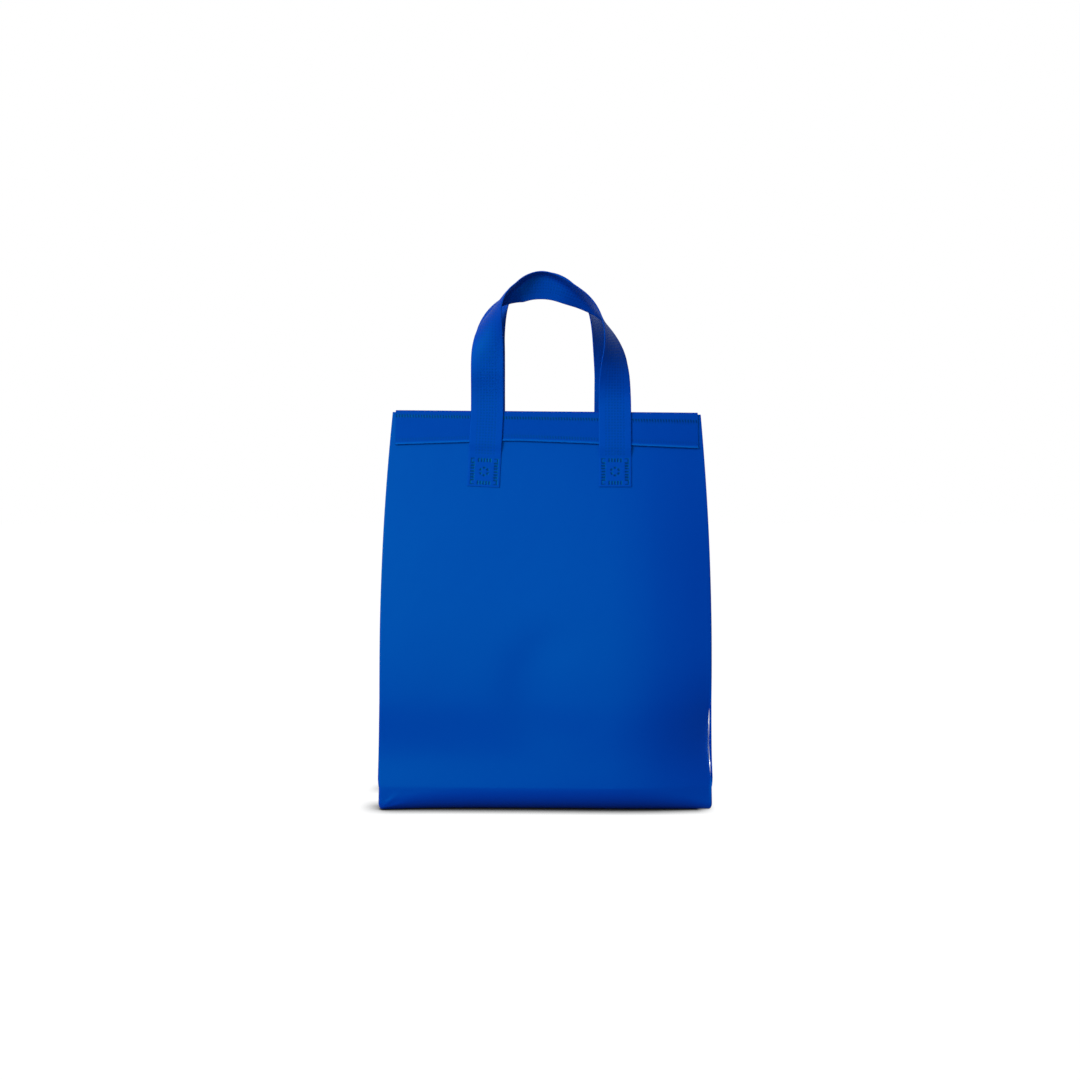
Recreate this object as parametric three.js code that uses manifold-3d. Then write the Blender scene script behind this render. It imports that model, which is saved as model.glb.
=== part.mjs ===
// An insulated shopping bag: a folded fabric body with side gussets, an insulating lining, a band folded over each
// long edge of the mouth, a closing tape inside each band, and two strap handles.
// Units are millimetres and +Z is up. The origin is the middle of the base, on the ground. The front faces -Y.
import * as THREE from "three";
import { mergeVertices } from "three/addons/utils/BufferGeometryUtils.js";
import Module from "manifold-3d";

const wasm = await Module();
wasm.setup();

// Body: a rectangle at the base, drawn together at the mouth so that the side gussets fold inwards.
const BASE_WIDTH = 300;
const BASE_DEPTH = 120;
const BODY_HEIGHT = 361;
const MOUTH_WIDTH = 285;
const MOUTH_DEPTH = 26;
const PANEL_BOW = 3; // how far the middle of the front and back panels stands out
const TAPER_START = 150; // above this height the panels narrow towards the mouth

// Side profile of the front and back panels, from the ground up.
const FOOT_HEIGHT = 14; // where the bag is deepest, and below it the panels curl under to the base
const BASE_CURL = 12; // how far the front and back panels curl under
const SIDE_CURL = 4; // how far the gussets curl under
const WAIST_HEIGHT = 48;
const WAIST_INSET = 7.4;
const BELLY_HEIGHT = 108;
const BELLY_INSET = 6;

// Walls and fits.
const SHELL_WALL = 0.8;
const LINING_WALL = 2;
const BAND_WALL = 0.8;
const STRAP_WALL = 1.2;
const TAPE_WALL = 1.5;
const CLEARANCE = 0.3; // between any two pieces that lie on each other

// Rim bands and closing tapes.
const BAND_HEIGHT = 30;
const BAND_END_INSET = 1.5; // from the panel's crease to the end of the band
const TAPE_WIDTH = 20;
const TAPE_LENGTH = 150;
const TAPE_DROP = 5; // from the top of the rim to the tape

// Strap handles. Both loops roll the same way, so they nest with this much room between their edges.
const STRAP_WIDTH = 30;
const STRAP_TAIL = 40; // strap below the band, welded to the panel
const STRAP_RAMP = 8; // the strap climbs over this height, and ends its climb as far below the band
const LOOP_ROOM = 1;
const LOOP_SETTLE = 40; // above the rim, the legs reach the plane of the loop within this height
const ROLL_AT_APEX = THREE.MathUtils.degToRad(136);

// Where each handle stands: the middle of its legs at the weld and at the start of the arch, the arch's top, how far
// the arch rises on each side and how square it is (2 is an ellipse), and the share of the way down to the rim over
// which the strap rolls over.
const FRONT_HANDLE = {
  side: -1,
  weldX: [-57.5, 64],
  legX: [-53, 64],
  apexX: -3,
  apexHeight: 115.3,
  archRise: [66, 80.5],
  archPower: [2.2, 2.05],
  rollShare: [0.65, 0.98],
};
const BACK_HANDLE = {
  side: 1,
  weldX: [-60, 60],
  legX: [-52.7, 60.8],
  apexX: 0,
  apexHeight: 121,
  archRise: [64, 89],
  archPower: [2.15, 1.9],
  rollShare: [0.9, 0.94],
};

// How finely the curved pieces are cut into flats.
const FOOT_RINGS = 5;
const BODY_RINGS = 18;
const PANEL_STEPS = 8;
const BAND_STEPS = 16;
const STRAP_STEPS = 72;
const ARCH_POINTS = 10;

const BLUE = new THREE.Color(0x004ea6);
const SILVER = new THREE.Color(0xc9ccd0);

// The side profile above the foot, as height against half depth.
const halfGusset = BASE_DEPTH / 2;
const sideProfile = new THREE.SplineCurve([
  new THREE.Vector2(FOOT_HEIGHT, halfGusset),
  new THREE.Vector2(WAIST_HEIGHT, halfGusset - WAIST_INSET),
  new THREE.Vector2(BELLY_HEIGHT, halfGusset - BELLY_INSET),
  new THREE.Vector2((BELLY_HEIGHT + BODY_HEIGHT) / 2, (halfGusset - BELLY_INSET + MOUTH_DEPTH / 2) / 2 + PANEL_BOW),
  new THREE.Vector2(BODY_HEIGHT, MOUTH_DEPTH / 2),
]);
const profilePoints = sideProfile.getSpacedPoints(400);

// How far a wall has curled under at height z: a quarter of an ellipse below the foot.
function curl(z, reach) {
  const share = Math.max(0, 1 - z / FOOT_HEIGHT);
  return reach * (1 - Math.sqrt(1 - share ** 2));
}

// Half the depth between the creases at height z. What stands above the rim carries on along the panel's slope.
function halfDepth(z) {
  if (z < FOOT_HEIGHT) return halfGusset - curl(z, BASE_CURL);
  const above = profilePoints.findIndex((p) => p.x >= z);
  const high = profilePoints.at(above);
  const low = profilePoints.at(above === 0 ? 1 : above - 1);
  return Math.min(halfGusset, THREE.MathUtils.mapLinear(z, low.x, high.x, low.y, high.y));
}

// Half the width between the creases at height z: the panels narrow above the belly and at the base's edge.
function halfWidth(z) {
  const share = Math.max(0, (z - TAPER_START) / (BODY_HEIGHT - TAPER_START));
  const taper = ((BASE_WIDTH - MOUTH_WIDTH) / 2) * Math.min(1, share) ** 2;
  return BASE_WIDTH / 2 - taper - curl(z, SIDE_CURL);
}

// How far a panel stands out from the line between its creases.
function bow(x, z) {
  return PANEL_BOW * Math.max(0, 1 - (x / halfWidth(z)) ** 2);
}

// How far a panel's face stands from the middle of the bag.
function panelFace(x, z) {
  return halfDepth(z) + bow(x, Math.min(z, BODY_HEIGHT));
}

// The plan of the body at height z, moved inwards by inset. Each half of a gusset keeps its width, so it folds in
// as the panels close on each other: gusset half, fold depth and half depth are a right triangle.
function creases(z, inset) {
  const depth = halfDepth(z);
  const fold = z > FOOT_HEIGHT ? Math.sqrt(Math.max(0, halfGusset ** 2 - depth ** 2)) : 0;
  const half = Math.hypot(depth, fold);
  return {
    panelY: depth - inset,
    creaseX: halfWidth(z) - (inset * (half + fold)) / depth,
    foldX: halfWidth(z) - fold - (inset * half) / depth,
  };
}

// The plan's outline, anticlockwise from the front left crease.
function outline(z, inset) {
  const { panelY, creaseX, foldX } = creases(z, inset);
  const points = [];
  for (const side of [-1, 1]) {
    for (let i = 0; i <= PANEL_STEPS; i++) {
      const x = -side * THREE.MathUtils.lerp(-creaseX, creaseX, i / PANEL_STEPS);
      points.push(new THREE.Vector2(x, side * (panelY + bow(x, z))));
    }
    points.push(new THREE.Vector2(-side * foldX, 0));
  }
  return points;
}

// A closed solid through a stack of outlines with the same number of points.
function loft(rings, heights) {
  const count = rings[0].length;
  const positions = [];
  const triangles = [];
  rings.forEach((ring, k) => ring.forEach((p) => positions.push(p.x, p.y, heights[k])));
  for (let k = 0; k + 1 < rings.length; k++) {
    for (let i = 0; i < count; i++) {
      const a = k * count + i;
      const b = k * count + ((i + 1) % count);
      triangles.push(a, b, b + count, a, b + count, a + count);
    }
  }
  const last = (rings.length - 1) * count;
  THREE.ShapeUtils.triangulateShape(rings.at(-1), []).forEach(([a, b, c]) => {
    triangles.push(last + a, last + b, last + c);
  });
  THREE.ShapeUtils.triangulateShape(rings[0], []).forEach(([a, b, c]) => triangles.push(a, c, b));
  const geometry = new THREE.BufferGeometry();
  geometry.setAttribute("position", new THREE.Float32BufferAttribute(positions, 3));
  geometry.setIndex(triangles);
  return geometry;
}

// The heights at which the body's plan is drawn: close together round the base's edge, then evenly up to the rim.
const ringHeights = [];
for (let k = 0; k < FOOT_RINGS; k++) ringHeights.push((FOOT_HEIGHT * k) / FOOT_RINGS);
for (let k = 0; k < BODY_RINGS; k++) {
  ringHeights.push(THREE.MathUtils.lerp(FOOT_HEIGHT, BODY_HEIGHT, k / BODY_RINGS));
}

// The body's form between two heights, moved inwards by inset.
function bodyForm(inset, bottom, top) {
  const heights = [bottom, ...ringHeights.filter((z) => z > bottom), BODY_HEIGHT];
  const rings = heights.map((z) => outline(z, inset));
  heights[heights.length - 1] = top;
  return loft(rings, heights);
}

// Joins and cuts are made on closed solids with merged vertices.
function solidOf(geometry) {
  const bare = geometry.clone();
  bare.deleteAttribute("normal");
  bare.deleteAttribute("uv");
  const merged = mergeVertices(bare, 1e-4);
  return new wasm.Manifold(
    new wasm.Mesh({
      numProp: 3,
      vertProperties: merged.attributes.position.array,
      triVerts: new Uint32Array(merged.index.array),
    }),
  );
}

function geometryOf(solid) {
  const mesh = solid.getMesh();
  const geometry = new THREE.BufferGeometry();
  geometry.setAttribute("position", new THREE.BufferAttribute(mesh.vertProperties, 3));
  geometry.setIndex(new THREE.BufferAttribute(mesh.triVerts, 1));
  return geometry;
}

// An open-topped bag: the body's form less the same form moved in by the wall.
function openBag(inset, wall) {
  const outside = solidOf(bodyForm(inset, inset, BODY_HEIGHT));
  const inside = solidOf(bodyForm(inset + wall, inset + wall, BODY_HEIGHT + wall));
  return geometryOf(outside.subtract(inside));
}

const liningInset = SHELL_WALL + CLEARANCE;
const innerPlyInset = liningInset + LINING_WALL + CLEARANCE;
const tapeInset = innerPlyInset + BAND_WALL + CLEARANCE;

// A strip along X whose section is given by (y, z) corners for the front panel, bowed as the panel is.
function rimStrip(corners, halfLength, side) {
  const section = new THREE.Shape(corners.map(([y, z]) => new THREE.Vector2(y, z)));
  const options = { depth: 2 * halfLength, steps: BAND_STEPS, bevelEnabled: false };
  const strip = new THREE.ExtrudeGeometry(section, options);
  const position = strip.getAttribute("position");
  for (let i = 0; i < position.count; i++) {
    const x = position.getZ(i) - halfLength;
    const y = position.getX(i);
    const z = position.getY(i);
    position.setXYZ(i, side * -x, side * -(y - bow(x, z)), z);
  }
  return strip;
}

// The section of a strip that follows the front panel's profile, from one inset to another.
function plySection(outerInset, innerInset, bottom, top) {
  const heights = [0, 1, 2, 3, 4].map((k) => THREE.MathUtils.lerp(bottom, top, k / 4));
  const innerFace = heights.map((z) => [innerInset - halfDepth(z), z]);
  const outerFace = heights.map((z) => [outerInset - halfDepth(z), z]);
  return [...innerFace, ...outerFace.reverse()];
}

// The rim band: an outer ply over the whole panel, a fold over the raw edges, and an inner ply that stops where the
// gusset's fold begins.
function rimBand(side) {
  const bottom = BODY_HEIGHT - BAND_HEIGHT;
  const edge = BODY_HEIGHT + CLEARANCE;
  const top = edge + BAND_WALL;
  const halfLength = MOUTH_WIDTH / 2 - BAND_END_INSET;
  const innerReach = creases(BODY_HEIGHT, tapeInset).creaseX;
  const innerFace = innerPlyInset + BAND_WALL;
  const outerPly = rimStrip(plySection(-CLEARANCE - BAND_WALL, -CLEARANCE, bottom, top), halfLength, side);
  const fold = rimStrip(plySection(-CLEARANCE - BAND_WALL, innerFace, edge, top), halfLength, side);
  const innerPly = rimStrip(plySection(innerPlyInset, innerFace, bottom, top), innerReach, side);
  return geometryOf(solidOf(outerPly).add(solidOf(fold)).add(solidOf(innerPly)));
}

function closingTape(side) {
  const top = BODY_HEIGHT - TAPE_DROP;
  const section = plySection(tapeInset, tapeInset + TAPE_WALL, top - TAPE_WIDTH, top);
  return rimStrip(section, TAPE_LENGTH / 2, side);
}

// The middle line of a strap: up one panel and over the band, round the arch, and down again.
function strapRoute({ side, weldX, legX, apexX, apexHeight, archRise, archPower }) {
  const bandBottom = BODY_HEIGHT - BAND_HEIGHT;
  const tailEnd = bandBottom - STRAP_TAIL;
  const liftOnPanel = CLEARANCE + STRAP_WALL / 2;
  const liftOnBand = liftOnPanel + BAND_WALL + CLEARANCE;
  const apexZ = BODY_HEIGHT + apexHeight;
  const loopPlane = STRAP_WIDTH / 2 + LOOP_ROOM;

  const legPoint = (leg, z) => {
    const topZ = apexZ - archRise[leg];
    const x = THREE.MathUtils.mapLinear(Math.min(z, BODY_HEIGHT), tailEnd, BODY_HEIGHT, weldX[leg], legX[leg]);
    const climb = THREE.MathUtils.smoothstep(z, bandBottom - 2 * STRAP_RAMP, bandBottom - STRAP_RAMP);
    const lift = THREE.MathUtils.lerp(liftOnPanel, liftOnBand, climb);
    const lying = panelFace(x, z) + lift;
    const settled = THREE.MathUtils.smoothstep(z, BODY_HEIGHT, Math.min(topZ, BODY_HEIGHT + LOOP_SETTLE));
    return new THREE.Vector3(x, side * THREE.MathUtils.lerp(lying, loopPlane, settled), z);
  };
  const legHeights = (leg) => {
    const topZ = apexZ - archRise[leg];
    const onTail = [tailEnd, (tailEnd + bandBottom) / 2 - STRAP_RAMP];
    const onRamp = [2, 1.5, 1, 0].map((share) => bandBottom - share * STRAP_RAMP);
    const onBand = [0.25, 0.5, 0.75, 1].map((share) => bandBottom + share * BAND_HEIGHT);
    return [...onTail, ...onRamp, ...onBand, (BODY_HEIGHT + topZ) / 2];
  };
  const archPoint = (leg, share) => {
    const angle = (share * Math.PI) / 2;
    const x = apexX + (legX[leg] - apexX) * Math.cos(angle) ** (2 / archPower[leg]);
    const z = apexZ - archRise[leg] * (1 - Math.sin(angle) ** (2 / archPower[leg]));
    return new THREE.Vector3(x, side * loopPlane, z);
  };

  const points = legHeights(0).map((z) => legPoint(0, z));
  for (let i = 0; i < ARCH_POINTS; i++) points.push(archPoint(0, i / ARCH_POINTS));
  for (let i = ARCH_POINTS; i >= 0; i--) points.push(archPoint(1, i / ARCH_POINTS));
  legHeights(1).reverse().forEach((z) => points.push(legPoint(1, z)));
  return new THREE.CatmullRomCurve3(points, false, "centripetal");
}

// A strap: a flat bar carried along its route. It follows the panel's bow at both ends, and rolls over through the
// arch, so that its inner face shows at the top of the loop.
function strap(handle) {
  const route = strapRoute(handle);
  const length = route.getLength();
  const forward = new THREE.Vector3(0, -1, 0);
  const samples = route.getSpacedPoints(4 * STRAP_STEPS);
  const highest = samples.reduce((best, p, i) => (p.z > samples[best].z ? i : best), 0);
  const spacing = length / (samples.length - 1);
  const apexAt = highest * spacing;
  const firstAboveRim = samples.findIndex((p) => p.z > BODY_HEIGHT + BAND_WALL);
  const lastAboveRim = samples.findLastIndex((p) => p.z > BODY_HEIGHT + BAND_WALL);
  const wayDown = [apexAt - firstAboveRim * spacing, lastAboveRim * spacing - apexAt];

  const bar = new THREE.BoxGeometry(STRAP_WIDTH, length, STRAP_WALL, 2, STRAP_STEPS, 1);
  const position = bar.getAttribute("position");
  for (let i = 0; i < position.count; i++) {
    const along = position.getY(i) + length / 2;
    const at = THREE.MathUtils.clamp(along / length, 0, 1);
    const centre = route.getPointAt(at);
    const tangent = route.getTangentAt(at);
    const fromApex = along - apexAt;
    const leg = fromApex < 0 ? 0 : 1;
    const share = Math.min(1, Math.abs(fromApex) / (handle.rollShare[leg] * wayDown[leg]));
    const roll = (ROLL_AT_APEX * (1 + Math.cos(Math.PI * share))) / 2;
    const inwards = new THREE.Vector3().crossVectors(tangent, forward).normalize();
    const towards = new THREE.Vector3().crossVectors(inwards, tangent);
    const across = inwards.multiplyScalar(Math.cos(roll)).addScaledVector(towards, Math.sin(roll));
    const normal = new THREE.Vector3().crossVectors(across, tangent);
    const place = centre.clone().addScaledVector(across, position.getX(i));
    const lying = 1 - THREE.MathUtils.smoothstep(centre.z, BODY_HEIGHT, BODY_HEIGHT + LOOP_SETTLE);
    place.y += handle.side * lying * (panelFace(place.x, place.z) - panelFace(centre.x, centre.z));
    place.addScaledVector(normal, position.getZ(i));
    position.setXYZ(i, place.x, place.y, place.z);
  }
  return bar;
}

const fabric = new THREE.MeshStandardMaterial({ color: BLUE, roughness: 0.55, metalness: 0 });
const strapFabric = new THREE.MeshStandardMaterial({ color: BLUE, roughness: 0.75, metalness: 0 });
const film = new THREE.MeshStandardMaterial({ color: SILVER, roughness: 0.3, metalness: 0.9 });
const tapeFabric = new THREE.MeshStandardMaterial({ color: BLUE, roughness: 0.95, metalness: 0 });

const bag = new THREE.Group();
function addPiece(name, geometry, material) {
  const piece = new THREE.Mesh(geometry, material.clone());
  piece.name = name;
  bag.add(piece);
}

addPiece("outer_shell", openBag(0, SHELL_WALL), fabric);
addPiece("insulating_lining", openBag(liningInset, LINING_WALL), film);
addPiece("front_rim_band", rimBand(-1), fabric);
addPiece("back_rim_band", rimBand(1), fabric);
addPiece("hook_tape", closingTape(-1), tapeFabric);
addPiece("loop_tape", closingTape(1), tapeFabric);
addPiece("front_handle", strap(FRONT_HANDLE), strapFabric);
addPiece("back_handle", strap(BACK_HANDLE), strapFabric);

export default bag;
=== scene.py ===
import math

import bmesh
import bpy
import numpy as np
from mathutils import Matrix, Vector


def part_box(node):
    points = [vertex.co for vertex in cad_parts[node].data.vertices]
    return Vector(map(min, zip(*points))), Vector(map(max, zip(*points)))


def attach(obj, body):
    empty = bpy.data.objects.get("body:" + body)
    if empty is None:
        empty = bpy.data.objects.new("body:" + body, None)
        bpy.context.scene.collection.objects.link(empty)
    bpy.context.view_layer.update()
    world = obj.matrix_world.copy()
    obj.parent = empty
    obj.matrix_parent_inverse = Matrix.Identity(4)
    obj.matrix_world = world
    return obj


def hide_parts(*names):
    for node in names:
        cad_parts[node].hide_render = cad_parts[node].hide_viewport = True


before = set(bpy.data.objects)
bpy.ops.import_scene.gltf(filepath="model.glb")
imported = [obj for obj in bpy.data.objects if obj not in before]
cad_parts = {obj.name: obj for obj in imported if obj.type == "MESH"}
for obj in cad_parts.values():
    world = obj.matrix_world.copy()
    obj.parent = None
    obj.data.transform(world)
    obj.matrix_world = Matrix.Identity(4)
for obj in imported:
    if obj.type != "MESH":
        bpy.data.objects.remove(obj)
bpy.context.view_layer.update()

# Outer shell: the blue non-woven body of the bag, laminated so that its face is smooth.
# One sheet is folded into the front and back panels, a base that curls up into them, and side gussets
# that fold in towards the mouth.
shell_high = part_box("outer_shell")[1]
RIM = shell_high.z
HALF_BASE = shell_high.x
BAND_SHORTFALL = 0.0002
HALF_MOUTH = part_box("front_rim_band")[1].x + BAND_SHORTFALL
HALF_GUSSET = 0.060
FOOT_FLARE = 0.0019
FLARE_HEIGHT = 0.100
MOUTH_SHIFT = 0.0013
SHELL_WALL = 0.0008
FOOT = 0.021
BASE_CURL = 0.014
SIDE_CURL = 0.003
CORNER_CURL = 0.30
CORNER_POWER = 4
TAPER_START = 0.150
WAIST, WAIST_DEPTH = 0.046, 0.0564
BELLY, BELLY_DEPTH = 0.102, 0.0563
MOUTH_DEPTH = 0.013
PANEL_FULLNESS = 0.003
BETWEEN = ((BELLY + RIM) / 2, (BELLY_DEPTH + MOUTH_DEPTH) / 2 + PANEL_FULLNESS)
SIDE_PROFILE = [
    (FOOT, HALF_GUSSET),
    (WAIST, WAIST_DEPTH),
    (BELLY, BELLY_DEPTH),
    BETWEEN,
    (RIM, MOUTH_DEPTH),
]
SWELL_PROFILE = [
    (0.0, 0.0050),
    (0.046, 0.0096),
    (0.110, 0.0085),
    (0.220, 0.0085),
    (0.320, 0.0050),
    (RIM, 0.0030),
]
SWELL_ACROSS = [
    (-1, 0),
    (-0.6, 0.22),
    (-0.1, 0.54),
    (0.25, 0.83),
    (0.50, 0.98),
    (0.62, 0.93),
    (0.80, 0.60),
    (1, 0),
]
RIM_LEAN = 0.0012
CREASE_ROUND = np.array([1, 2, 3, 2, 1]) / 9
CREASE_GIVE = 0.0027
CREASE_SETTLE = 0.012
EDGE_DENSITY = 0.7
FOOT_DENSITY = 1.4
TUCK_DEPTH = 0.009
TUCK_FROM = 0.055
TUCK_HEIGHT = 0.060
TUCK_SPREAD = 0.050
SIDE_BULGE = 0.0035
BULGE_HEIGHT = 0.070
CORNER_PLEATS = [((-0.1480, 0.0020), (-0.1335, 0.0170)), ((-0.1480, 0.0020), (-0.1220, 0.0080))]
PLEAT_RISE = 0.0008
PLEAT_HALF = 0.0013
DENT_CENTRE = (0.020, 0.112)
DENT_RADIUS = 0.053
DENT_DEPTH = 0.0030
DENT_WALL = 0.007
DENT_FADE = 0.062


def smooth_through(stations, at):
    """A smooth curve through (place, value) stations, read at those places and straight past the last one."""
    place, value = np.array(stations).T
    slope = np.gradient(value, place)
    k = np.clip(np.searchsorted(place, at) - 1, 0, len(place) - 2)
    span = place[k + 1] - place[k]
    t = np.clip((at - place[k]) / span, 0, 1)
    curve = value[k] * (1 + 2 * t) * (1 - t) ** 2 + value[k + 1] * t**2 * (3 - 2 * t)
    curve = curve + span * (slope[k] * t * (1 - t) ** 2 - slope[k + 1] * t**2 * (1 - t))
    return curve + slope[-1] * np.maximum(0, at - place[-1])


def half_width(z):
    """Half the width between the side creases at that height."""
    taper = np.clip((z - TAPER_START) / (RIM - TAPER_START), 0, 1)
    flare = FOOT_FLARE * np.clip(1 - z / FLARE_HEIGHT, 0, 1)
    return HALF_BASE - (HALF_BASE - HALF_MOUTH) * taper**2 + flare


def dent(x, z):
    """How far the front panel is pushed in: a shallow hollow with a curved wall on its left and top."""
    from_centre = np.hypot(x - DENT_CENTRE[0], z - DENT_CENTRE[1])
    wall = 1 / (1 + np.exp((from_centre - DENT_RADIUS) / DENT_WALL))
    fade = np.exp(-(np.maximum(0, x - DENT_CENTRE[0] + DENT_RADIUS) / DENT_FADE) ** 2)
    return DENT_DEPTH * wall * fade


def tuck(x, z):
    """How far the front panel falls back at its lower right, where the bag leans on its corner."""
    beyond = np.clip((x - TUCK_FROM) / (HALF_BASE - TUCK_FROM), 0, 1)
    return TUCK_DEPTH * beyond**2 * np.exp(-(((z - TUCK_HEIGHT) / TUCK_SPREAD) ** 2))


def pleats(x, z):
    """How far two small pleats stand out at the front left corner, where the base's fabric is gathered."""
    rise = np.zeros_like(x)
    for (x0, z0), (x1, z1) in CORNER_PLEATS:
        run = (x - x0) * (x1 - x0) + (z - z0) * (z1 - z0)
        along = np.clip(run / ((x1 - x0) ** 2 + (z1 - z0) ** 2), 0, 1)
        beside = np.hypot(x - x0 - along * (x1 - x0), z - z0 - along * (z1 - z0))
        rise = np.maximum(rise, PLEAT_RISE * (1 - along**2) * np.exp(-((beside / PLEAT_HALF) ** 2)))
    return rise


def panel_face(x, z):
    """How far a panel's face stands from the middle of the bag at that place."""
    below = np.minimum(z, RIM)
    across = np.clip(x / half_width(below), -1, 1)
    swell = smooth_through(SWELL_PROFILE, below) * smooth_through(SWELL_ACROSS, across)
    return smooth_through(SIDE_PROFILE, np.maximum(z, FOOT)) + swell


def body_table(inset, panel_columns, gusset_columns, wall_rows, curl_rows):
    """Points round the body, a row at a time from the base's edge to the rim, moved inwards by inset."""
    even = np.linspace(-1, 1, panel_columns, endpoint=False)
    panel = (1 - EDGE_DENSITY) * even + EDGE_DENSITY * np.sin(math.pi / 2 * even)
    even = np.linspace(-1, 1, 2 * gusset_columns, endpoint=False)
    gusset = even - EDGE_DENSITY / 2 * np.sin(2 * math.pi * even) / (2 * math.pi)
    across = np.concatenate([panel, np.ones_like(gusset), -panel, -np.ones_like(gusset)])
    along = np.concatenate([-np.ones_like(panel), gusset, np.ones_like(panel), -gusset])
    corner = np.abs(across) ** CORNER_POWER
    size = 1 - (1 - CORNER_CURL) * corner
    rows = []
    for k in range(curl_rows + wall_rows + 1):
        turn = math.pi / 2 * min(1, k / curl_rows)
        up = max(0, (k - curl_rows) / wall_rows)
        z = FOOT * size * (1 - math.cos(turn))
        z = z + (RIM - z) * up**FOOT_DENSITY
        depth = smooth_through(SIDE_PROFILE, np.maximum(z, FOOT))
        fold = np.sqrt(np.maximum(0, HALF_GUSSET**2 - depth**2))
        half = np.hypot(depth, fold)
        width = half_width(z) + CREASE_GIVE * (np.minimum(1, fold / CREASE_SETTLE) + fold / half) / 2
        crease_x = width - inset * (half + fold) / depth
        fold_x = width - fold - inset * half / depth
        is_gusset = np.abs(across) == 1
        x = across * crease_x - across * is_gusset * (crease_x - fold_x) * (1 - np.abs(along))
        swell = smooth_through(SWELL_PROFILE, z) * smooth_through(SWELL_ACROSS, across)
        y = along * (depth - inset + swell)
        curl = 1 - math.sin(turn)
        x = x - across * SIDE_CURL * curl
        y = y - along * BASE_CURL * size * curl
        y = y + np.where(along == -1, dent(x, z) + tuck(x, z) - pleats(x, z), 0)
        low = np.clip(1 - z / BULGE_HEIGHT, 0, 1)
        x = x - np.where(across == -1, SIDE_BULGE * (1 - along**2) * low * (1 - curl), 0)
        raised = inset * np.clip(1 - z / FOOT, 0, 1)
        z = z + raised - RIM_LEAN * x / HALF_MOUTH * (z / RIM) ** 2
        x = x + MOUTH_SHIFT * (z / RIM) ** 2
        ring = np.stack([x, y, z], axis=1)
        wrapped = np.concatenate([ring[-2:], ring, ring[:2]])
        rows.append(sum(w * wrapped[i : i + len(ring)] for i, w in enumerate(CREASE_ROUND)))
    table = np.array(rows)
    return np.concatenate([table, table[:, :1]], axis=1)


def base_table(ring, panel_columns, gusset_columns):
    """The base inside the body's lowest row of points: a sheet stretched between its four sides."""
    depth_columns = 2 * gusset_columns
    front = ring[: panel_columns + 1]
    right = ring[panel_columns : panel_columns + depth_columns + 1]
    back = ring[panel_columns + depth_columns : 2 * panel_columns + depth_columns + 1][::-1]
    left = ring[2 * panel_columns + depth_columns :][::-1]
    s = np.linspace(0, 1, panel_columns + 1)[None, :, None]
    t = np.linspace(0, 1, depth_columns + 1)[:, None, None]
    between = (1 - t) * front + t * back + (1 - s) * left[:, None] + s * right[:, None]
    near = (1 - s) * front[0] + s * front[-1]
    far = (1 - s) * back[0] + s * back[-1]
    return between - (1 - t) * near - t * far


def place_grid(bm, table, pressed=None, size=None, painted_edge_highlight=None):
    """Adds a grid to bm and puts each of its points where the table says. Its UV is the flat sheet's."""
    rows, columns = table.shape[0] - 1, table.shape[1] - 1
    mark = bm.verts.layers.float.get("pressed") or bm.verts.layers.float.new("pressed")
    # A layer for where a painted edge highlight goes.
    highlight_layer = bm.verts.layers.float.get("painted_edge_highlight") or bm.verts.layers.float.new("painted_edge_highlight")
    flat = bm.loops.layers.uv.get("sheet") or bm.loops.layers.uv.new("sheet")
    verts = bmesh.ops.create_grid(bm, x_segments=columns, y_segments=rows, size=1)["verts"]
    width, length = size or (1, 1)
    for face in {f for v in verts for f in v.link_faces}:
        for loop in face.loops:
            loop[flat].uv = (loop.vert.co.x * width / 2, loop.vert.co.y * length / 2)
    for v in verts:
        column = round((v.co.x + 1) / 2 * columns)
        row = round((v.co.y + 1) / 2 * rows)
        v.co = table[row, column]
        v[mark] = 0 if pressed is None else pressed[row, column]
        v[highlight_layer] = 0 if painted_edge_highlight is None else painted_edge_highlight[row, column]


def add_piece(name, bm, material, sharp=50):
    """Makes bm into a smooth-shaded object, with edges sharper than that many degrees kept."""
    bmesh.ops.recalc_face_normals(bm, faces=bm.faces)
    mesh = bpy.data.meshes.new(name)
    bm.to_mesh(mesh)
    bm.free()
    mesh.shade_smooth()
    mesh.set_sharp_from_angle(angle=math.radians(sharp))
    mesh.materials.append(material)
    piece = bpy.data.objects.new(name, mesh)
    bpy.context.scene.collection.objects.link(piece)
    return piece


def join_edges(bm):
    """Closes a sheet: bridges the open edges of its two faces."""
    bmesh.ops.bridge_loops(bm, edges=[e for e in bm.edges if e.is_boundary])


def bag_mesh(outer_inset, wall, panel_columns, gusset_columns, wall_rows, curl_rows):
    """A sheet bag with an open mouth: its outer face, over the rim, its inner face, and two bases."""
    bm = bmesh.new()
    outer = body_table(outer_inset, panel_columns, gusset_columns, wall_rows, curl_rows)
    inner = body_table(outer_inset + wall, panel_columns, gusset_columns, wall_rows, curl_rows)
    place_grid(bm, np.concatenate([outer, inner[::-1]]))
    for body in (outer, inner):
        place_grid(bm, base_table(body[0], panel_columns, gusset_columns))
    bmesh.ops.remove_doubles(bm, verts=bm.verts, dist=1e-6)
    return bm


def nodes_of(material):
    """The node tree of a new material and its shader node."""
    material.use_nodes = True
    tree = material.node_tree
    return tree, tree.nodes["Principled BSDF"]


def add_node(tree, kind, inputs=(), **settings):
    """Adds a node with its settings, and fills its inputs with values or links them to sockets."""
    node = tree.nodes.new(kind)
    for key, value in settings.items():
        setattr(node, key, value)
    for socket, value in dict(inputs).items():
        if isinstance(value, bpy.types.NodeSocket):
            tree.links.new(value, node.inputs[socket])
        else:
            node.inputs[socket].default_value = value
    return node


def mix_colours(tree, share, first, second):
    """The first colour where share is 0, turning into the second where it is 1."""
    inputs = {"Factor": share, "A": first, "B": second}
    return add_node(tree, "ShaderNodeMix", inputs, data_type="RGBA").outputs["Result"]


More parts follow.
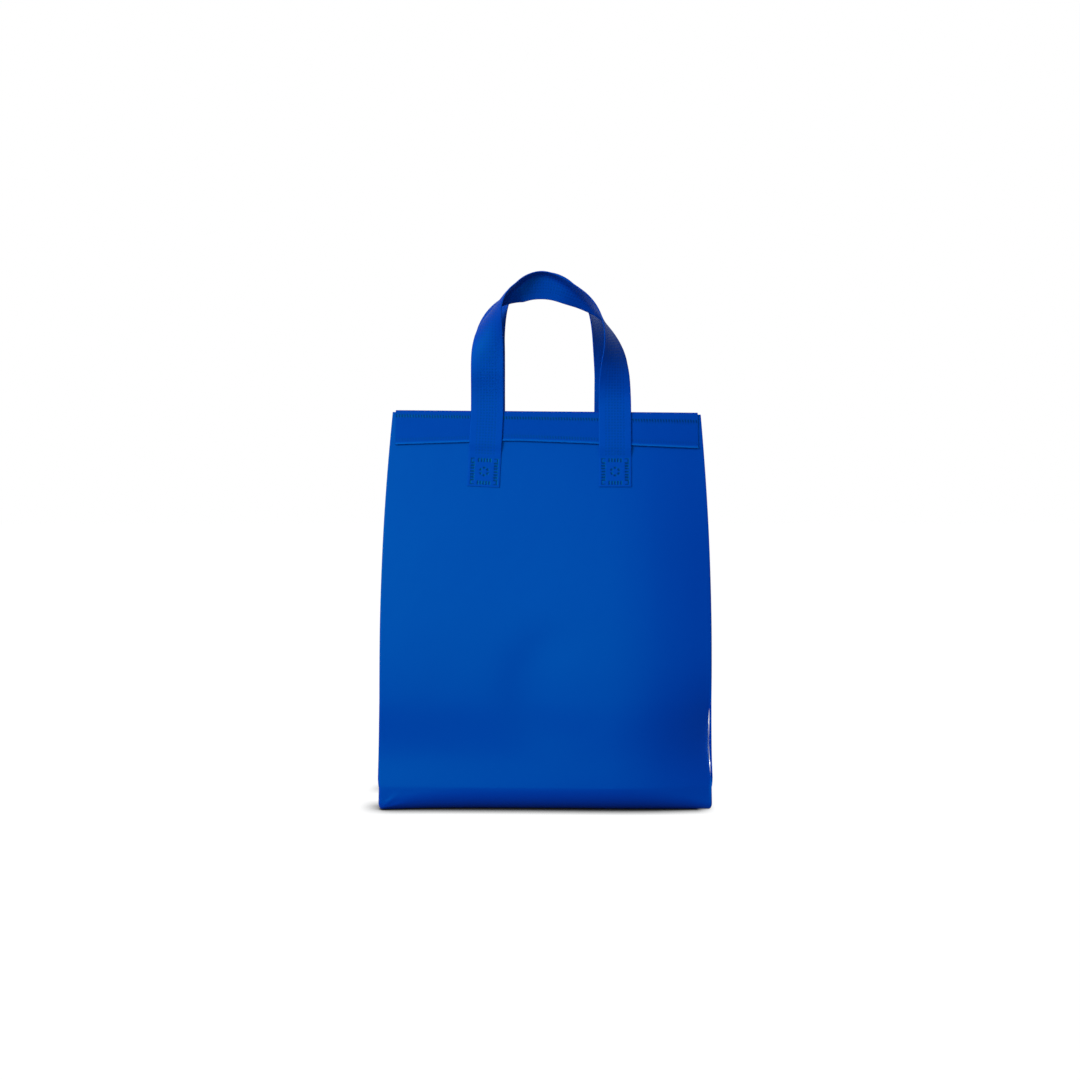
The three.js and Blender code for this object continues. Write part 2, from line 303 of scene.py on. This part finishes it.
def combine(tree, operation, *values):
    """The result of a math node on those values or sockets."""
    return add_node(tree, "ShaderNodeMath", dict(enumerate(values)), operation=operation).outputs["Value"]


SHELL_BLUE = (0.0, 0.018, 0.312, 1)
SHELL_SHADE = (0.0, 0.016, 0.298, 1)
SHEEN_BLUE = (0.0, 0.95, 0.85, 1)
FIBRE_SHARE = 0.12

shell_fabric = bpy.data.materials.new("laminated_nonwoven")
tree, shader = nodes_of(shell_fabric)
place = add_node(tree, "ShaderNodeTexCoord").outputs["Object"]
broad = {"Vector": place, "Scale": 9, "Detail": 4, "Roughness": 0.55}
cloud = add_node(tree, "ShaderNodeTexNoise", broad)
tone = mix_colours(tree, cloud.outputs["Fac"], SHELL_BLUE, SHELL_SHADE)
tree.links.new(tone, shader.inputs["Base Color"])
fibre = add_node(tree, "ShaderNodeTexNoise", {"Vector": place, "Scale": 900, "Detail": 3, "Roughness": 0.6})
ripple = add_node(tree, "ShaderNodeTexNoise", {"Vector": place, "Scale": 70, "Detail": 2, "Roughness": 0.5})
relief = combine(tree, "MULTIPLY_ADD", fibre.outputs["Fac"], FIBRE_SHARE, ripple.outputs["Fac"])
bump = add_node(tree, "ShaderNodeBump", {"Strength": 0.25, "Distance": 0.0006, "Height": relief})
tree.links.new(bump.outputs["Normal"], shader.inputs["Normal"])
gloss = add_node(tree, "ShaderNodeMapRange", {"Value": cloud.outputs["Fac"], "To Min": 0.54, "To Max": 0.60})
tree.links.new(gloss.outputs["Result"], shader.inputs["Roughness"])
shader.inputs["Specular IOR Level"].default_value = 0.52
shader.inputs["Specular Tint"].default_value = SHEEN_BLUE

BAG_GRID = dict(panel_columns=100, gusset_columns=20, wall_rows=112, curl_rows=10)
shell_mesh = bag_mesh(0.0, SHELL_WALL, **BAG_GRID)
shell = add_piece("bag_shell", shell_mesh, shell_fabric)
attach(shell, "root")
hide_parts("outer_shell")

# Insulating lining: a bag of thin foam faced with metallised film, dropped into the shell and caught
# under the rim bands. Its film is crinkled from folding and shows only through the mouth.
LINING_WALL = 0.0020
LINING_INSET = 0.0013
FILM_SILVER = (0.74, 0.75, 0.77, 1)
CREASE_SHARE = 0.5

film = bpy.data.materials.new("metallised_film")
tree, shader = nodes_of(film)
place = add_node(tree, "ShaderNodeTexCoord").outputs["Object"]
crinkle = add_node(tree, "ShaderNodeTexVoronoi", {"Vector": place, "Scale": 60}, feature="SMOOTH_F1")
creases = add_node(tree, "ShaderNodeTexNoise", {"Vector": place, "Scale": 120, "Detail": 4})
relief = combine(tree, "MULTIPLY_ADD", creases.outputs["Fac"], CREASE_SHARE, crinkle.outputs["Distance"])
bump = add_node(tree, "ShaderNodeBump", {"Strength": 0.5, "Distance": 0.002, "Height": relief})
tree.links.new(bump.outputs["Normal"], shader.inputs["Normal"])
shine = {"Value": creases.outputs["Fac"], "To Min": 0.18, "To Max": 0.38}
gloss = add_node(tree, "ShaderNodeMapRange", shine)
tree.links.new(gloss.outputs["Result"], shader.inputs["Roughness"])
shader.inputs["Base Color"].default_value = FILM_SILVER
shader.inputs["Metallic"].default_value = 1.0

lining_mesh = bag_mesh(LINING_INSET, LINING_WALL, **BAG_GRID)
lining = add_piece("foil_lining", lining_mesh, film)
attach(lining, "root")
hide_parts("insulating_lining")

# Rim bands: strips of non-woven folded over the raw edges of shell and lining, at the front and the back.
# A ladder of short weld marks fixes each along its top edge, and a fainter one along its lower edge.
BAND_WALL = 0.0008
BAND_GAP = 0.0005
BAND_HALF_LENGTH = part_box("front_rim_band")[1].x - MOUTH_SHIFT
BAND_FLAT = 0.065
BAND_CREST = 0.0003
BAND_CREST_RISE = 0.0011
BAND_INNER_REACH = 0.101
INNER_TAPER = 0.006
INNER_PLY = 0.030
INNER_PLY_END = 0.0015
BAND_LOWER_EDGE = [
    (-0.140, 0.3321),
    (-0.083, 0.3340),
    (-0.031, 0.3355),
    (0.004, 0.3344),
    (0.087, 0.3309),
    (0.140, 0.3286),
]
BAND_EDGE_LIFT = 0.0010
LIFTED_SHARE = 0.12
# Width of the painted highlight along the band's lower edge.
EDGE_HIGHLIGHT_WIDTH = 0.0014
LADDER_PITCH = 0.00254
LADDER_DROP = (0.0038, 0.0068)
LADDER_MARK = 0.0034
LADDER_SLANT = 0.12
COLUMNS_PER_MARK = 5
TOOTH_TOP, TOOTH_FALL = 2.6, 7.0
LOWER_LADDER_RISE = 0.0042
FAINT_TONE, FAINT_GAIN = 0.25, 0.35
FAINT_MIDDLE, FAINT_SPREAD = 0.016, 0.035
WELD_DEPTH = 0.00016


def within_mark(distance):
    """1 in the middle of a ladder mark, falling to 0 at its ends."""
    return np.clip(3 - 6 * np.abs(distance) / LADDER_MARK, 0, 1)


def band_piece(name, side):
    """A rim band on the front (side -1) or the back (side 1)."""
    columns = round(2 * BAND_HALF_LENGTH / LADDER_PITCH) * COLUMNS_PER_MARK
    x = np.linspace(-BAND_HALF_LENGTH, BAND_HALF_LENGTH, columns + 1)[None, :]
    lower = smooth_through(BAND_LOWER_EDGE, x)
    lean = -RIM_LEAN * x / HALF_MOUTH
    crest = RIM + BAND_CREST + lean
    hem_rows = [0, 0.02, 0.06]
    lower_rows = np.linspace(0.09, 0.22, 8)
    plain_rows = np.linspace(0.28, 0.74, 9)
    ladder_rows = np.append(np.linspace(0.77, 0.955, 11), 0.98)
    rise = np.concatenate([hem_rows, lower_rows, plain_rows, ladder_rows])
    turn = np.linspace(0, math.pi, 9)
    drop = np.linspace(0.04, 1, 10)
    fold_depth = SHELL_WALL + LINING_INSET + LINING_WALL + 2 * BAND_GAP
    half_fold = (fold_depth + BAND_WALL) / 2
    inner_end = [BAND_INNER_REACH - INNER_TAPER, BAND_INNER_REACH]
    inner_length = np.interp(np.abs(x), inner_end, [INNER_PLY, INNER_PLY_END])
    out_face = (BAND_GAP + BAND_WALL / 2) * np.ones_like(x)
    heights, outward = [], []
    for share in rise:
        heights.append(lower + share * (crest - lower))
        outward.append(out_face + BAND_EDGE_LIFT * max(0, 1 - share / LIFTED_SHARE) ** 2)
    for angle in turn[1:-1]:
        heights.append(crest + BAND_CREST_RISE * math.sin(angle))
        outward.append(out_face - half_fold * (1 - math.cos(angle)))
    for share in drop:
        heights.append(crest - share * inner_length)
        outward.append(out_face - 2 * half_fold)
    z = np.array(heights)[:, 0]
    away = np.array(outward)[:, 0]
    x = np.broadcast_to(x, z.shape)
    y = panel_face(x, z) + away
    middle = np.stack([x + MOUTH_SHIFT, side * y, z], axis=2)
    path = np.gradient(np.stack([y, z], axis=2), axis=0)
    path = path / np.linalg.norm(path, axis=2, keepdims=True)
    normal = np.stack([np.zeros_like(x), side * path[:, :, 1], -path[:, :, 0]], axis=2)

    share_along = (x / BAND_HALF_LENGTH + 1) / 2
    ladder_z = crest - (LADDER_DROP[0] + (LADDER_DROP[1] - LADDER_DROP[0]) * share_along)
    outer_rows = (np.arange(len(z)) < len(rise))[:, None]
    phase = (x + LADDER_SLANT * (z - ladder_z)) / LADDER_PITCH % 1
    tooth = np.clip(TOOTH_TOP - TOOTH_FALL * np.abs(phase - 0.5), 0, 1) * outer_rows
    upper = tooth * within_mark(z - ladder_z)
    faint = tooth * within_mark(z - lower - LOWER_LADDER_RISE)
    patchy = FAINT_TONE + FAINT_GAIN * np.exp(-(((x - FAINT_MIDDLE) / FAINT_SPREAD) ** 2))
    # How pressed each point is: it sinks the band there and darkens its colour, partly the weld's own tone
    # and partly painted shade of the dent.
    pressed = np.maximum(upper, patchy * faint)
    outside = middle + normal * (BAND_WALL / 2 - WELD_DEPTH * pressed)[:, :, None]
    inside = middle - normal * (BAND_WALL / 2)
    # Painted highlight along the outer ply's lower edge, where it catches the light.
    edge_highlight = np.clip(1.5 - (z - lower) / EDGE_HIGHLIGHT_WIDTH, 0, 1) * outer_rows
    bm = bmesh.new()
    place_grid(bm, outside, pressed, size=(2 * BAND_HALF_LENGTH, BAND_FLAT), painted_edge_highlight=edge_highlight)
    place_grid(bm, inside, size=(2 * BAND_HALF_LENGTH, BAND_FLAT))
    join_edges(bm)
    return add_piece(name, bm, band_fabric)


BAND_BLUE = (0.0, 0.026, 0.315, 1)
BAND_SHADE = (0.0, 0.023, 0.300, 1)
# Weld colour: partly the pressed fabric's own darker tone and partly painted shade in the weld dents.
WELD_BLUE_AND_DENT_SHADE = (0.0, 0.0005, 0.120, 1)
# Painted highlight: a paler blue mixed in along the band's lower edge, where the edge catches the light.
EDGE_HIGHLIGHT_BLUE = (0.0, 0.075, 0.400, 1)
BOND_SHARE = 0.6


def nonwoven(name, light, shade, weld):
    """Non-woven fabric that shows its bonded fibres, darker and smoother where a weld has pressed it. The
    darker colour is partly the pressed fabric's own and partly painted shade in the dents, and a painted
    highlight is mixed in along edges marked for it.
    """
    material = bpy.data.materials.new(name)
    tree, shader = nodes_of(material)
    sheet = add_node(tree, "ShaderNodeUVMap", uv_map="sheet").outputs["UV"]
    stretch = {"Vector": sheet, "Scale": (1.0, 0.22, 1.0)}
    drawn = add_node(tree, "ShaderNodeMapping", stretch).outputs["Vector"]
    grain = {"Vector": drawn, "Scale": 1600, "Detail": 3, "Roughness": 0.65}
    fibre = add_node(tree, "ShaderNodeTexNoise", grain).outputs["Fac"]
    cloud = add_node(tree, "ShaderNodeTexNoise", {"Vector": sheet, "Scale": 90, "Detail": 3}).outputs["Fac"]
    cells = {"Vector": sheet, "Scale": 900}
    bond = add_node(tree, "ShaderNodeTexVoronoi", cells, feature="F1").outputs["Distance"]
    mark = add_node(tree, "ShaderNodeAttribute", attribute_name="pressed").outputs["Fac"]
    highlight_share = add_node(tree, "ShaderNodeAttribute", attribute_name="painted_edge_highlight").outputs["Fac"]
    # A painted highlight is mixed in where points are marked for it.
    with_highlight = mix_colours(tree, highlight_share, mix_colours(tree, cloud, light, shade), EDGE_HIGHLIGHT_BLUE)
    # Pressed marks take the weld colour, which is partly painted shade in their dents.
    tree.links.new(mix_colours(tree, mark, with_highlight, weld), shader.inputs["Base Color"])
    relief = combine(tree, "MULTIPLY_ADD", bond, BOND_SHARE, fibre)
    bump = add_node(tree, "ShaderNodeBump", {"Strength": 0.35, "Distance": 0.0003, "Height": relief})
    tree.links.new(bump.outputs["Normal"], shader.inputs["Normal"])
    gloss = add_node(tree, "ShaderNodeMapRange", {"Value": mark, "To Min": 0.68, "To Max": 0.34})
    tree.links.new(gloss.outputs["Result"], shader.inputs["Roughness"])
    shader.inputs["Specular IOR Level"].default_value = 0.38
    shader.inputs["Specular Tint"].default_value = SHEEN_BLUE
    return material


band_fabric = nonwoven("band_nonwoven", BAND_BLUE, BAND_SHADE, WELD_BLUE_AND_DENT_SHADE)
for side, node in ((-1, "front_rim_band"), (1, "back_rim_band")):
    band = band_piece(node.replace("rim_band", "band"), side)
    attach(band, "root")
    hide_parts(node)

# Closing tapes: a strip of woven hooks inside the front band and one of soft loops inside the back band.
# Each is stuck flat to the band's inner ply and keeps the cold in when the mouth is pressed shut.
TAPE_WALL = 0.0015
TAPE_RIB = 0.00035
TAPE_BLUE = (0.0, 0.040, 0.22, 1)
TAPE_SHADE = (0.0, 0.030, 0.17, 1)


def tape_piece(name, node, side):
    """A closing tape on the inner face of the band on that side, with a ribbed pile on its face."""
    low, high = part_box(node)
    columns, rows = 200, 26
    x = np.linspace(low.x, high.x, columns + 1)[None, :] * np.ones((rows + 1, 1))
    z = np.linspace(low.z, high.z, rows + 1)[:, None] * np.ones((1, columns + 1))
    behind = SHELL_WALL + LINING_INSET + LINING_WALL + BAND_WALL + 2 * BAND_GAP
    rib = TAPE_RIB * (np.arange(columns + 1) % 2)[None, :] * ((np.arange(rows + 1) % 2)[:, None])
    back = np.stack([x, side * (panel_face(x, z) - behind), z], axis=2)
    front = np.stack([x, side * (panel_face(x, z) - behind - TAPE_WALL + rib), z], axis=2)
    bm = bmesh.new()
    place_grid(bm, front, size=(high.x - low.x, high.z - low.z))
    place_grid(bm, back, size=(high.x - low.x, high.z - low.z))
    join_edges(bm)
    return add_piece(name, bm, tape_pile)


tape_pile = nonwoven("tape_pile", TAPE_BLUE, TAPE_SHADE, WELD_BLUE_AND_DENT_SHADE)
for side, node in ((-1, "hook_tape"), (1, "loop_tape")):
    tape = tape_piece(node.replace("_tape", "_strip"), node, side)
    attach(tape, "root")
    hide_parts(node)

# Strap handles: a flat strip of doubled non-woven, bonded down its middle by rows of weld dots.
# Each end is welded to its panel by a square of dashes, and the strap rolls over through its loop.
STRAP_WIDTH = 0.030
STRAP_WALL = 0.0012
STRAP_TRIM = 0.0035
STRAP_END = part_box("front_handle")[0].z + STRAP_TRIM
STRAP_RAMP = 0.012
RAMP_STOP = 0.0004
TAIL_WALL = 0.0007
TAIL_GAP = 0.00015
TAIL_STEP = 0.0004
TAIL_EASE = 0.004
EDGE_ROUND = 0.0007
EDGE_ROWS = np.array([0.10, 0.35])
EDGE_THIN = 0.3
LOOP_CLEARANCE = 0.001
LOOP_PLANE = STRAP_WIDTH / 2 + LOOP_CLEARANCE
LOOP_SETTLE = 0.040
ROLL_BLEND = 0.008
ROLL_CHANGE = 0.025
ARCH_POINTS = 400
BEND_PASSES = 6
DOT_PITCH = 0.0027
DOT_COLUMNS = 7
DOT_DEPTH = 0.00022
# Share by which each weld dot is pressed: it sinks the dot and darkens its colour, partly with painted shade
# of the dimple.
DOT_TONE = 0.42
DOT_HALF_ACROSS, DOT_HALF_ALONG = 0.22, 0.26
COLUMNS_PER_DOT, ROWS_PER_DOT = 5, 4
PATCH_HALF = 0.0125
PATCH_MARK = 0.0036
PATCH_CLEAR = 0.003
PATCH_RISE = 0.0142
PATCH_MIDDLE = STRAP_END + PATCH_RISE
DASH_HALF = 0.30
SIDE_DASHES, END_DASHES = 3.4, 2.4
BRACKET_LINE = 0.0009
SPOT_RING = 0.0036
SPOT_HALF = 0.0010
SPOT_ANGLE = math.pi / 3
STRAP_BLUE = (0.0, 0.032, 0.345, 1)
STRAP_SHADE = (0.0, 0.028, 0.325, 1)
HANDLES = {
    -1: dict(
        weld=(-0.0570, 0.0640),
        leg=(-0.0538, 0.0642),
        apex=-0.0035,
        height=0.1195,
        rise=(0.0529, 0.0726),
        power=(2.239, 1.972),
        turn=math.radians(105),
        flat=(0.0075, 0.0163),
        way=(0.1033, 0.1628),
        slant=(1.097, 0.321),
        face=math.radians(166),
        fold_at=0.0077,
        fold_fall=(0.507, 0.394),
        fold_width=(0.0046, 0.0100),
    ),
    1: dict(
        weld=(-0.0600, 0.0600),
        leg=(-0.0528, 0.0612),
        apex=0.0004,
        height=0.1251,
        rise=(0.0608, 0.0958),
        power=(2.168, 1.896),
        turn=math.radians(119),
        flat=(-0.0290, -0.0227),
        way=(0.1183, 0.1488),
        slant=(0.788, 0.0),
        face=math.radians(119),
        fold_at=-STRAP_WIDTH,
        fold_fall=(0.0, 0.0),
        fold_width=(0.0100, 0.0100),
    ),
}


def ease(value, low, high):
    """0 below low and 1 above high, with a smooth change between them."""
    t = np.clip((value - low) / (high - low), 0, 1)
    return t * t * (3 - 2 * t)


def strap_route(side, weld, leg, apex, height, rise, power, **rest):
    """Closely spaced points along the middle of a strap: up one panel, round the arch and down again."""
    halves = []
    for end in (0, 1):
        arch_foot = RIM + height - rise[end]
        z = np.arange(STRAP_END, arch_foot, TAIL_STEP)
        x = np.interp(z, [STRAP_END, RIM], [weld[end], leg[end]])
        lower = smooth_through(BAND_LOWER_EDGE, x)
        on_panel = TAIL_GAP + TAIL_WALL / 2
        on_band = 2 * BAND_GAP + BAND_WALL + STRAP_WALL / 2
        lift = on_panel + (on_band - on_panel) * ease(z, lower - STRAP_RAMP, lower - RAMP_STOP)
        lying = panel_face(x, z) + lift
        settled = ease(z, RIM, min(arch_foot, RIM + LOOP_SETTLE))
        y = side * (lying + (LOOP_PLANE - lying) * settled)
        angle = np.linspace(0, math.pi / 2, ARCH_POINTS)[:-1]
        arch_x = apex + (leg[end] - apex) * np.cos(angle) ** (2 / power[end])
        arch_z = arch_foot + rise[end] * np.sin(angle) ** (2 / power[end])
        arch = np.stack([arch_x, np.full_like(arch_x, side * LOOP_PLANE), arch_z], axis=1)
        halves.append(np.concatenate([np.stack([x, y, z], axis=1), arch]))
    top = np.array([[apex, side * LOOP_PLANE, RIM + height]])
    return np.concatenate([halves[0], top, halves[1][::-1]])


def weld_patch(across, along):
    """1 where the weld square presses the strap, at places measured from the square's middle.

    Dashes run all round it, with small brackets at the corners and a ring of spots inside.
    """
    a, b = np.abs(across), np.abs(along)
    band_a = (a > PATCH_HALF - PATCH_MARK) & (a < PATCH_HALF)
    band_b = (b > PATCH_HALF - PATCH_MARK) & (b < PATCH_HALF)
    dash_a = np.abs((across / DOT_PITCH + 0.5) % 1 - 0.5) < DASH_HALF
    dash_b = np.abs((along / DOT_PITCH + 0.5) % 1 - 0.5) < DASH_HALF
    sides = band_a & (b < SIDE_DASHES * DOT_PITCH) & dash_b
    ends = band_b & (a < END_DASHES * DOT_PITCH) & dash_a
    bracket = band_a & band_b & (np.maximum(a, b) > PATCH_HALF - BRACKET_LINE)
    angle = np.arctan2(along, across)
    on_ring = np.abs(np.hypot(across, along) - SPOT_RING) < SPOT_HALF
    spots = on_ring & (np.abs(angle / SPOT_ANGLE % 1 - 0.5) < DASH_HALF)
    return (sides | ends | bracket | spots).astype(float)


def strap_piece(name, side, handle):
    """A strap handle on the front (side -1) or the back (side 1), and its length.

    Its strip is rolled by turn over the apex and flattens out along each leg, from flat to way, sooner on
    one edge where there is a slant. Past the fold line, which falls away from the apex, it lies at the
    angle face.
    """
    route = strap_route(side, **handle)
    steps = np.linalg.norm(np.diff(route, axis=0), axis=1)
    reach = np.concatenate([[0], np.cumsum(steps)])
    length = reach[-1]
    tail = np.arange(0, PATCH_MIDDLE - STRAP_END + PATCH_HALF, TAIL_STEP)
    loop = np.arange(tail[-1] + TAIL_STEP, length / 2, DOT_PITCH / ROWS_PER_DOT)
    s = np.concatenate([tail, loop, length - loop[::-1], length - tail[::-1]])
    rows = len(s) - 1
    centre = np.stack([np.interp(s, reach, route[:, i]) for i in range(3)], axis=1)
    tangent = np.gradient(centre, s, axis=0)
    for _ in range(BEND_PASSES):
        tangent[1:-1] = (tangent[:-2] + 2 * tangent[1:-1] + tangent[2:]) / 4
    tangent /= np.linalg.norm(tangent, axis=1, keepdims=True)
    forward = np.array([0.0, -1.0, 0.0])
    inwards = np.cross(tangent, forward)
    inwards /= np.linalg.norm(inwards, axis=1, keepdims=True)
    towards = np.cross(inwards, tangent)

    half_columns = round(STRAP_WIDTH / 2 / DOT_PITCH * COLUMNS_PER_DOT)
    half = np.linspace(0, STRAP_WIDTH / 2, half_columns + 1)
    half = np.sort(np.append(half, STRAP_WIDTH / 2 - EDGE_ROUND * EDGE_ROWS))
    u = np.concatenate([-half[:0:-1], half])[None, :]
    apex_at = s[np.argmax(centre[:, 2])]
    past = ease(s, apex_at - ROLL_CHANGE, apex_at + ROLL_CHANGE)[:, None]
    slant, flat, way, fall, soft = (
        handle[key][0] + (handle[key][1] - handle[key][0]) * past
        for key in ("slant", "flat", "way", "fold_fall", "fold_width")
    )
    from_apex = np.hypot(s - apex_at, ROLL_BLEND)[:, None] - ROLL_BLEND
    share = np.clip((from_apex + slant * u - flat) / (way - flat), 0, 1)
    roll = handle["turn"] * (1 - share**3 * (share * (6 * share - 15) + 10))
    fold = ease(handle["fold_at"] - fall * from_apex - u, -soft / 2, soft / 2)
    free = ease(centre[:, 2], RIM, RIM + LOOP_SETTLE / 2)[:, None]
    roll = (roll + (handle["face"] - roll) * fold) * free
    across = inwards[:, None] * np.cos(roll)[:, :, None] + towards[:, None] * np.sin(roll)[:, :, None]
    normal = np.cross(across, tangent[:, None])
    steps = (across[:, 1:] + across[:, :-1]) / 2 * np.diff(u)[:, :, None]
    offset = np.concatenate([np.zeros((rows + 1, 1, 3)), np.cumsum(steps, axis=1)], axis=1)
    middle = centre[:, None] + offset - offset[:, u.size // 2][:, None]
    lying = (1 - ease(centre[:, 2], RIM, RIM + LOOP_SETTLE))[:, None]
    at_centre = panel_face(centre[:, 0], centre[:, 2])[:, None]
    middle[:, :, 1] += side * lying * (panel_face(middle[:, :, 0], middle[:, :, 2]) - at_centre)

    in_zone = np.abs(u) < DOT_COLUMNS * DOT_PITCH / 2
    cell_a = np.abs((u / DOT_PITCH + 0.5) % 1 - 0.5)
    cell_b = np.abs((s[:, None] / DOT_PITCH) % 1 - 0.5)
    dots = np.where(in_zone & (cell_a < DOT_HALF_ACROSS) & (cell_b < DOT_HALF_ALONG), DOT_TONE, 0)
    from_end = np.minimum(s, length - s)[:, None] * np.ones_like(u)
    from_patch = from_end - (PATCH_MIDDLE - STRAP_END)
    on_patch = weld_patch(u * np.ones_like(from_patch), from_patch)
    dots = np.where(from_patch < PATCH_HALF + PATCH_CLEAR, 0, dots)
    # Dots and the weld square are pressed in, and their darker colour is partly painted shade.
    outer = np.maximum(dots, on_patch)
    outside, inside = (outer, dots) if side == -1 else (dots, outer)
    edge = np.clip(1 - (STRAP_WIDTH / 2 - np.abs(u)) / EDGE_ROUND, 0, 1)
    past_patch = ease(from_patch, PATCH_HALF, PATCH_HALF + TAIL_EASE)
    half_wall = (TAIL_WALL + (STRAP_WALL - TAIL_WALL) * past_patch) / 2
    half_wall = half_wall * (EDGE_THIN + (1 - EDGE_THIN) * np.sqrt(1 - edge**2))
    front = middle + normal * (half_wall - DOT_DEPTH * outside)[:, :, None]
    back = middle - normal * (half_wall - DOT_DEPTH * inside)[:, :, None]
    bm = bmesh.new()
    place_grid(bm, front, outside, size=(STRAP_WIDTH, length))
    place_grid(bm, back, inside, size=(STRAP_WIDTH, length))
    join_edges(bm)
    return add_piece(name, bm, strap_fabric), length


strap_fabric = nonwoven("strap_nonwoven", STRAP_BLUE, STRAP_SHADE, WELD_BLUE_AND_DENT_SHADE)
for side, node in ((-1, "front_handle"), (1, "back_handle")):
    strap, strap_length = strap_piece(node.replace("handle", "strap"), side, HANDLES[side])
    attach(strap, "root")
    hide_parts(node)

# Stage: a pale floor with a painted contact shadow, and a background that the camera and glossy rays
# see as white. A large soft lamp stands at the left and a weaker one low in front, in cool ambient light.
# The camera stands a little above the middle of the bag, looking slightly down.
FLOOR_DROP = 0.0003
FLOOR_HALF = 6
FLOOR_GREY = (0.08, 0.08, 0.08, 1)
FLOOR_SEEN = (0.04, 0.04, 0.04, 1)
SHADOW_REACH = 0.020
SHADOW_DARK, SHADOW_CLEAR = 0.30, 0.98
SHADOW_DEPTH_START, SHADOW_DEPTH_FULL = 0.014, 0.040
SHADOW_RIGHT_END, SHADOW_RIGHT_FULL = 0.156, 0.138
WHITE = (1, 1, 1, 1)
AMBIENT_TINT = (0.5, 0.72, 1, 1)
AMBIENT_LEVEL = 0.30


def sees_background(tree):
    """1 for the rays that see the white background: the camera's, glossy ones and those through a surface."""
    rays = add_node(tree, "ShaderNodeLightPath").outputs
    direct = combine(tree, "MAXIMUM", rays["Is Camera Ray"], rays["Is Transmission Ray"])
    return combine(tree, "MAXIMUM", direct, rays["Is Glossy Ray"])


def ramp(tree, value, start, full):
    """0 where the value is at start, 1 where it is at full, and held at those beyond them."""
    inputs = {"Value": value, "From Min": start, "From Max": full}
    return add_node(tree, "ShaderNodeMapRange", inputs).outputs["Result"]


floor_mesh = bpy.data.meshes.new("floor")
bm = bmesh.new()
bmesh.ops.create_grid(bm, x_segments=1, y_segments=1, size=FLOOR_HALF)
bmesh.ops.translate(bm, verts=bm.verts, vec=(0, 0, -FLOOR_DROP))
bm.to_mesh(floor_mesh)
bm.free()
floor = bpy.data.objects.new("floor", floor_mesh)
bpy.context.scene.collection.objects.link(floor)

pale_floor = bpy.data.materials.new("pale_floor")
tree, shader = nodes_of(pale_floor)
# Painted contact shadow: ambient occlusion near the bag darkens the floor's white glow, only towards the
# front and back and not past the right corner.
uncovered = add_node(tree, "ShaderNodeAmbientOcclusion", {"Distance": SHADOW_REACH}, samples=16).outputs["AO"]
lit = ramp(tree, uncovered, SHADOW_DARK, SHADOW_CLEAR)
place = add_node(tree, "ShaderNodeTexCoord").outputs["Object"]
where = add_node(tree, "ShaderNodeSeparateXYZ", {0: place}).outputs
in_depth = ramp(tree, combine(tree, "ABSOLUTE", where["Y"]), SHADOW_DEPTH_START, SHADOW_DEPTH_FULL)
in_width = ramp(tree, where["X"], SHADOW_RIGHT_END, SHADOW_RIGHT_FULL)
shaded = combine(tree, "MULTIPLY", in_depth, in_width)
levels = {"Factor": shaded, "A": 1.0, "B": lit}
level = add_node(tree, "ShaderNodeMix", levels, data_type="FLOAT").outputs["Result"]
glow = combine(tree, "MULTIPLY", level, sees_background(tree))
tree.links.new(glow, shader.inputs["Emission Strength"])
shader.inputs["Emission Color"].default_value = WHITE
camera_ray = add_node(tree, "ShaderNodeLightPath").outputs["Is Camera Ray"]
tree.links.new(mix_colours(tree, camera_ray, FLOOR_GREY, FLOOR_SEEN), shader.inputs["Base Color"])
shader.inputs["Roughness"].default_value = 0.9
shader.inputs["Specular IOR Level"].default_value = 0.0
floor_mesh.materials.append(pale_floor)

world = bpy.data.worlds.new("studio")
bpy.context.scene.world = world
world.use_nodes = True
tree = world.node_tree
background = tree.nodes["Background"]
white_rays = sees_background(tree)
strength = add_node(tree, "ShaderNodeMapRange", {"Value": white_rays, "To Min": AMBIENT_LEVEL, "To Max": 1.0})
tree.links.new(strength.outputs["Result"], background.inputs["Strength"])
tree.links.new(mix_colours(tree, white_rays, AMBIENT_TINT, WHITE), background.inputs["Color"])


def soft_lamp(name, place, aim, size, power):
    """A square area lamp at place, turned to aim."""
    lamp = bpy.data.lights.new(name, "AREA")
    lamp.size = size
    lamp.energy = power
    holder = bpy.data.objects.new(name, lamp)
    holder.location = place
    holder.rotation_euler = (Vector(aim) - Vector(place)).to_track_quat("-Z", "Y").to_euler()
    bpy.context.scene.collection.objects.link(holder)


soft_lamp("key", place=(-2.0, -2.3, 1.7), aim=(0, 0, 0.22), size=1.5, power=106)
soft_lamp("fill", place=(-0.2, -2.6, 0.10), aim=(0, 0, 0.30), size=1.2, power=26)

CAMERA_TILT = math.radians(3)
CAMERA_REACH = 1.500
PHOTO_SCALE = 0.9e-3
PHOTO_PIXELS = 1080
SENSOR = 36
AIM = Vector((-0.00495, -HALF_GUSSET, 0.246))
camera_data = bpy.data.cameras.new("camera")
camera_data.sensor_width = SENSOR
camera_data.lens = SENSOR * CAMERA_REACH / (PHOTO_PIXELS * PHOTO_SCALE)
camera = bpy.data.objects.new("camera", camera_data)
camera.location = AIM + Vector((0, -CAMERA_REACH, CAMERA_REACH * math.tan(CAMERA_TILT)))
camera.rotation_euler = (math.pi / 2 - CAMERA_TILT, 0, 0)
bpy.context.scene.collection.objects.link(camera)
bpy.context.scene.camera = camera
bpy.context.scene.view_settings.view_transform = "Standard"
